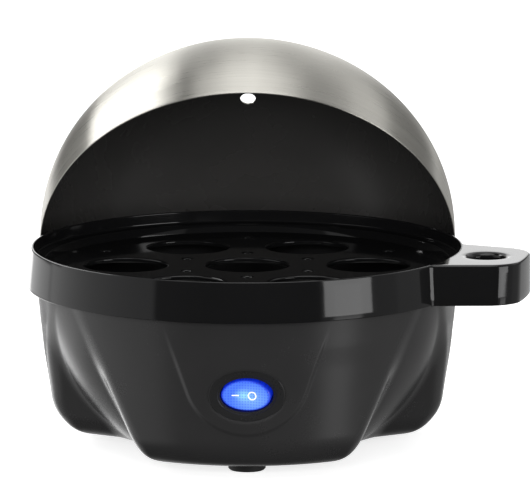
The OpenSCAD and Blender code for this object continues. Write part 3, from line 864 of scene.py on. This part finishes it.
def steel_outside():
    """Steel brushed round the lid's axis: streaks along the rim, gloss drawn out across them."""
    m = Nodes("lid_steel")
    co = m.node("ShaderNodeAttribute", {"attribute_name": "in_lid"}).outputs["Vector"]
    parts = m.node("ShaderNodeSeparateXYZ", Vector=co)
    x, y, z = parts.outputs
    radius = m.math("SQRT", m.math("MULTIPLY_ADD", x, x, m.math("MULTIPLY", y, y)))
    angle = m.math("ARCTAN2", y, x)
    along = m.math("SUBTRACT", z, radius)
    streak_at = m.node("ShaderNodeCombineXYZ", X=along, Y=m.math("MULTIPLY", angle, 0.0022),
                       Z=m.math("MULTIPLY", radius, 0.15)).outputs[0]
    fine = m.noise(streak_at, 4200.0, 2.0, 0.7)
    wide = m.noise(streak_at, 900.0, 3.0, 0.6)
    both = m.math("MULTIPLY_ADD", wide, 0.6, m.math("MULTIPLY", fine, 0.4))
    round_axis = m.node("ShaderNodeCombineXYZ", X=m.math("MULTIPLY", y, -1.0), Y=x, Z=0.0).outputs[0]
    tangent = m.node("ShaderNodeVectorRotate", {"rotation_type": "X_AXIS"}, Vector=round_axis,
                     Angle=math.radians(-57)).outputs[0]
    tangent = m.node("ShaderNodeVectorMath", {"operation": "NORMALIZE"}, Vector=tangent).outputs[0]
    m.principled(Base_Color=m.mix(both, rgb(0.50, 0.485, 0.44), rgb(0.76, 0.745, 0.69)), Metallic=1.0,
                 Roughness=m.remap(both, 0.25, 0.75, 0.24, 0.36), Anisotropic=0.95, Anisotropic_Rotation=0.25,
                 Tangent=tangent, Normal=m.bump(both, 0.16, 0.00012))
    return m


def painted_shade_inside():
    """The lid's inside: a dark, smooth, faintly streaked non-metal finish, painted shade standing in for the
    steel's shaded, dark reflections.
    """
    m = Nodes("lid_inside_painted_shade")
    co = m.node("ShaderNodeAttribute", {"attribute_name": "in_lid"}).outputs["Vector"]
    cloud = m.noise(m.scaled(co, (1, 1, 3)), 40.0, 3.0, 0.5)
    m.principled(Base_Color=m.mix(cloud, rgb(0.036, 0.035, 0.034), rgb(0.046, 0.0445, 0.043)), Metallic=0.0,
                 Roughness=m.remap(cloud, 0.0, 1.0, 0.22, 0.32), Normal=m.bump(cloud, 0.01, 0.0002))
    return m


def lit_rocker():
    """Translucent blue rocker with a lens grid, lit from inside."""
    m = Nodes("rocker_lit")
    parts = m.node("ShaderNodeSeparateXYZ", Vector=m.coords())
    x, y, z = parts.outputs
    pitch = 2 * math.pi / 0.0011
    grid_x = m.math("SINE", m.math("MULTIPLY", x, pitch))
    grid_y = m.math("SINE", m.math("MULTIPLY", y, pitch))
    lens = m.remap(m.math("MAXIMUM", grid_x, grid_y), -0.4, 1.0, 0.64, 1.08)
    gx, gy = m.math("ADD", x, -0.0022), m.math("ADD", y, 0.0012)
    dist = m.math("SQRT", m.math("MULTIPLY_ADD", gx, gx, m.math("MULTIPLY", m.math("MULTIPLY", gy, gy), 1.7)))
    glow = m.remap(dist, 0.0, 0.0085, 1.0, 0.0)
    sx = m.math("ADD", x, 0.0009)
    near = m.math("SQRT", m.math("MULTIPLY_ADD", sx, sx, m.math("MULTIPLY", m.math("MULTIPLY", y, y), 1.7)))
    spot = m.math("POWER", m.remap(near, 0.0, 0.0042, 1.0, 0.0), 1.4)
    ex = m.math("DIVIDE", x, 0.0098)
    ey = m.math("DIVIDE", y, 0.0063)
    edge_at = m.math("SQRT", m.math("MULTIPLY_ADD", ex, ex, m.math("MULTIPLY", ey, ey)))
    rim_dark = m.remap(edge_at, 0.86, 0.97, 1.0, 0.0)
    body = m.mix(glow, rgb(0.09, 0.23, 0.95), rgb(0.28, 0.57, 1.0))
    face = m.mix(spot, body, rgb(0.42, 0.95, 1.0))
    colour = m.mix(rim_dark, rgb(0.0, 0.012, 0.42), face)
    m.principled(Base_Color=rgb(0.01, 0.03, 0.35), Roughness=0.16, IOR=1.5, Emission_Color=colour,
                 Emission_Strength=m.math("MULTIPLY", lens, 0.9))
    m.principled(Normal=m.bump(m.math("MULTIPLY", grid_x, grid_y), 0.12, 0.0001))
    return m


def mark_white():
    m = Nodes("rocker_marks")
    worn = m.noise(m.coords(), 1500.0, 2.0)
    m.principled(Base_Color=m.mix(worn, rgb(0.75, 0.75, 0.8), rgb(0.9, 0.9, 0.95)), Roughness=0.4,
                 Emission_Color=rgb(0.8, 0.82, 1.0), Emission_Strength=0.75)
    return m


lid_shade_mat = painted_shade_inside()
dome_mat = steel_outside()
dome.data.materials.append(dome_mat.mat)
dome.data.materials.append(lid_shade_mat.mat)

paint(base, housing_mat)
for piece in (band, floor, grip_tab):
    paint(piece, tray_mat)
paint(bezel, bezel_mat)
paint(rocker, lit_rocker())
white = mark_white()
paint(mark_off, white)
paint(mark_on, white)
CAD_LOOKS = {
    "deck": deck_mat, "plate_seal": seal_mat, "heating_plate": plate_mat, "heat_spreader": cast_mat,
    "heating_element": sheath_mat, "plate_clamps": zinc_mat, "plate_nuts": zinc_mat,
    "thermostat": phenolic_mat, "thermostat_clip": zinc_mat, "clip_screws": zinc_mat,
    "thermal_fuse": fuse_mat, "fuse_holder": ceramic_mat, "switch_body": body_mat,
    "switch_lamp": ceramic_mat, "terminal_block": terminal_mat, "cord_grommet": rubber_mat,
    "foot_front": rubber_mat, "foot_left": rubber_mat, "foot_right": rubber_mat, "housing_screws": zinc_mat}
for node_name, look in CAD_LOOKS.items():
    paint(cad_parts[node_name], look)

# ---------------------------------------------------------------- stage and light
floor_mesh = bpy.data.meshes.new("ground")
floor_mesh.from_pydata([(-30, -30, 0), (30, -30, 0), (30, 30, 0), (-30, 30, 0)], [], [(0, 1, 2, 3)])
ground = bpy.data.objects.new("ground", floor_mesh)
bpy.context.collection.objects.link(ground)

ground_mat = Nodes("ground_white")
mottle = ground_mat.noise(ground_mat.coords(), 3.0, 2.0)
pale = ground_mat.mix(mottle, rgb(0.86, 0.86, 0.86), rgb(0.88, 0.88, 0.88))
ground_mat.principled(Base_Color=pale, Roughness=0.9, Specular_IOR_Level=0.0,
                      Emission_Color=rgb(1.0, 1.0, 1.0), Emission_Strength=0.75)
ground.data.materials.append(ground_mat.mat)
ground.visible_glossy = False
ground.visible_diffuse = False
ground.visible_shadow = False

scene = bpy.context.scene
scene.view_settings.view_transform = "Standard"
scene.view_settings.look = "None"

# The room's light by direction, seen from the camera's side: azimuth 0 towards the camera, 180 behind
# the object. Levels and patches were set so that the gloss falls where the real one has it.
world = bpy.data.worlds.new("studio")
scene.world = world
world.use_nodes = True
wt = world.node_tree
wt.nodes.clear()
w_out = wt.nodes.new("ShaderNodeOutputWorld")
w_bg = wt.nodes.new("ShaderNodeBackground")
wt.links.new(w_bg.outputs[0], w_out.inputs[0])


def wmath(op, a, b=None, c=None):
    n = wt.nodes.new("ShaderNodeMath")
    n.operation = op
    for socket, value in zip(n.inputs, (a, b, c)):
        if isinstance(value, bpy.types.NodeSocket):
            wt.links.new(value, socket)
        elif value is not None:
            socket.default_value = value
    return n.outputs[0]


def wramp(value, stops):
    n = wt.nodes.new("ShaderNodeValToRGB")
    wt.links.new(value, n.inputs[0])
    ramp = n.color_ramp
    ramp.interpolation = "LINEAR"
    while len(ramp.elements) < len(stops):
        ramp.elements.new(0.5)
    for element, (at, level) in zip(ramp.elements, stops):
        element.position = at
        element.color = (level, level, level, 1)
    return n.outputs[0]


w_co = wt.nodes.new("ShaderNodeTexCoord")
w_xyz = wt.nodes.new("ShaderNodeSeparateXYZ")
wt.links.new(w_co.outputs["Generated"], w_xyz.inputs[0])
dx, dy, dz = w_xyz.outputs
AZ = wmath("MULTIPLY", wmath("ARCTAN2", dx, wmath("MULTIPLY", dy, -1.0)), 180 / math.pi)
EL = wmath("MULTIPLY", wmath("ARCSINE", dz), 180 / math.pi)


def soft_step(value, at, width):
    n = wt.nodes.new("ShaderNodeMapRange")
    n.interpolation_type = "SMOOTHSTEP"
    for socket, v in zip(n.inputs, (value, at - width / 2, at + width / 2, 0.0, 1.0)):
        if isinstance(v, bpy.types.NodeSocket):
            wt.links.new(v, socket)
        else:
            socket.default_value = v
    return n.outputs[0]


def patch(below, azimuths, elevations, level, soft=(6, 6)):
    """Lays a soft-edged rectangle of light over the room's light so far."""
    mask = None
    for value, span, width in ((AZ, azimuths, soft[0]), (EL, elevations, soft[1])):
        for at, rising in ((span[0], True), (span[1], False)):
            if at is None:
                continue
            step = soft_step(value, at, width)
            step = step if rising else wmath("SUBTRACT", 1.0, step)
            mask = step if mask is None else wmath("MULTIPLY", mask, step)
    return wmath("MULTIPLY_ADD", wmath("SUBTRACT", level, below), mask, below)


def az(deg):
    return (deg + 180) / 360


# Level all round at every height, as (azimuth, level).
LEVELS = [(-180, 0.8), (-130, 1.1), (-118, 1.1), (-88, 0.72), (-60, 0.5), (-50, 0.46), (-48, 0.1),
          (-20, 0.06), (38, 0.05), (40, 0.25), (84, 0.28), (86, 0.35), (110, 0.3), (135, 0.5), (150, 1.2),
          (180, 1.2)]
light = wramp(wmath("MULTIPLY_ADD", AZ, 1 / 360, 0.5), [(az(d), v) for d, v in LEVELS])
# low down: what the base's walls and lobes reflect
light = patch(light, (100, None), (None, -20), 0.3, (20, 14))
light = patch(light, (None, -100), (None, -27), 0.5, (20, 10))
light = patch(light, (-168, -142), (-27, -12), 2.8, (16, 10))
light = patch(light, (46, 62), (-26, -4), 1.6, (4, 14))
light = patch(light, (None, None), (None, -43), 0.06, (6, 22))
# round the horizon: the tray's band and the lid's sides
light = patch(light, (150, None), (1, 24), 1.6, (10, 6))
light = patch(light, (None, -158), (1, 24), 1.6, (10, 6))
light = patch(light, (128, None), (-14, 1), 0.5, (6, 4))
light = patch(light, (None, -126), (-14, 1), 0.2, (6, 4))
light = patch(light, (None, -156), (-11, 3), 2.2, (8, 4))
light = patch(light, (-158, -126), (-10, -3), 1.1, (6, 3))
light = patch(light, (-166, -116), (-1, 20), 0.12, (6, 3))
light = patch(light, (112, 165), (3, 26), 0.2, (8, 5))
# above: the lid's shoulder and crown
light = patch(light, (100, 160), (28, 46), 0.75, (10, 4))
light = patch(light, (90, 165), (46, 62), 0.4, (10, 4))
light = patch(light, (None, -165), (26, 50), 0.55, (10, 10))
light = patch(light, (165, None), (26, 50), 0.55, (10, 10))
light = patch(light, (None, None), (66, None), 1.4, (6, 6))
light = patch(light, (90, 170), (62, 74), 0.6, (10, 6))
light = patch(light, (-165, -90), (50, 66), 0.08, (8, 3))
wt.links.new(light, w_bg.inputs["Strength"])
w_bg.inputs["Color"].default_value = (1, 1, 1, 1)


def softbox(name, azimuth_deg, elevation_deg, distance, width, height, radiance, colour=(1, 1, 1)):
    """A rectangular lamp that looks at the object, from an azimuth measured from the camera's side."""
    light = bpy.data.lights.new(name, "AREA")
    light.shape = "RECTANGLE"
    light.size, light.size_y = width, height
    light.energy = radiance * math.pi * width * height
    light.color = colour
    obj = bpy.data.objects.new(name, light)
    a, e = math.radians(azimuth_deg), math.radians(elevation_deg)
    d = Vector((math.sin(a) * math.cos(e), -math.cos(a) * math.cos(e), math.sin(e)))
    obj.location = Vector((0, 0, 0.08)) + d * distance
    obj.rotation_euler = (-d).to_track_quat("-Z", "Y").to_euler()
    bpy.context.collection.objects.link(obj)
    return obj


softbox("left_box", -131, 36, 2.2, 0.8, 1.26, 3.2)
softbox("right_strip", 53.5, 8, 2.4, 1.17, 1.02, 2.8)
softbox("top_box", 20, 72, 2.4, 1.6, 1.2, 0.8)
fill = softbox("front_fill", -4, 12, 2.6, 2.4, 1.4, 5.5)
fill.visible_glossy = False
